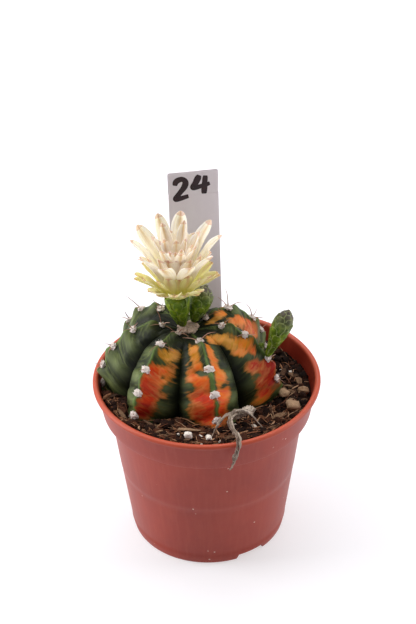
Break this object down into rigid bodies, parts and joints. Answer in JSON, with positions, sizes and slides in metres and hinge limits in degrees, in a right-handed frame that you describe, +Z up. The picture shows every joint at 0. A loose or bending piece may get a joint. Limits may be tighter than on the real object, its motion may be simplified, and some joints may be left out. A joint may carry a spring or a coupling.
{
  "type": "potted round cactus",
  "caption": "Ribbed round cactus with a cream flower and buds, in a thin round plastic nursery pot of soil with a stick label.",
  "frame": {"origin": "on the ground under the middle of the pot", "axes": "+Z up along the pot's axis, -Y is the front, from which the flower stands in front of the label, +X is to the right seen from the front"},
  "size_m": [0.085, 0.0858, 0.1322],
  "materials": {
    "pot_plastic": "satin moulded polypropylene, terracotta colour",
    "soil": "loose peat with bark fibres; wood stands in for peat",
    "cactus_skin": "waxy plant skin, dark green with red, orange and yellow patches; rubber stands in for plant flesh",
    "label_plastic": "flat grey-white plastic",
    "bud_flesh": "fresh green scaly flesh; rubber stands in for plant flesh",
    "stamens": "soft pale yellow; fabric stands in for petal tissue",
    "tepal_cream": "soft cream with pink tips; fabric stands in for petal tissue",
    "tepal_green": "soft yellow-green with pink tips; fabric stands in for petal tissue",
    "dry_flower": "dry and papery",
    "grit_pale": "rough pale grit",
    "grit_tan": "rough tan grit"
  },
  "bodies": {
    "root": {"pot": "pot_plastic", "soil": "soil", "cactus_body": "cactus_skin", "plant_label": "label_plastic", "flower_tube": "bud_flesh", "bud_crown": "bud_flesh", "bud_side": "bud_flesh", "bud_nub": "bud_flesh", "stamens": "stamens", "style": "tepal_cream", "tepal_inner_1": "tepal_cream", "tepal_inner_2": "tepal_cream", "tepal_inner_3": "tepal_cream", "tepal_inner_4": "tepal_cream", "tepal_inner_5": "tepal_cream", "tepal_inner_6": "tepal_cream", "tepal_inner_7": "tepal_cream", "tepal_middle_1": "tepal_cream", "tepal_middle_2": "tepal_cream", "tepal_middle_3": "tepal_cream", "tepal_middle_4": "tepal_cream", "tepal_middle_5": "tepal_cream", "tepal_middle_6": "tepal_cream", "tepal_middle_7": "tepal_cream", "tepal_middle_8": "tepal_cream", "tepal_middle_9": "tepal_cream", "tepal_middle_10": "tepal_cream", "tepal_outer_1": "tepal_green", "tepal_outer_2": "tepal_green", "tepal_outer_3": "tepal_green", "tepal_outer_4": "tepal_green", "tepal_outer_5": "tepal_green", "tepal_outer_6": "tepal_green", "tepal_outer_7": "tepal_green", "tepal_outer_8": "tepal_green", "withered_flower": "dry_flower", "grit_1": "grit_pale", "grit_2": "grit_pale", "grit_3": "grit_tan", "grit_4": "grit_tan", "grit_5": "grit_tan"}
  },
  "joints": []
}
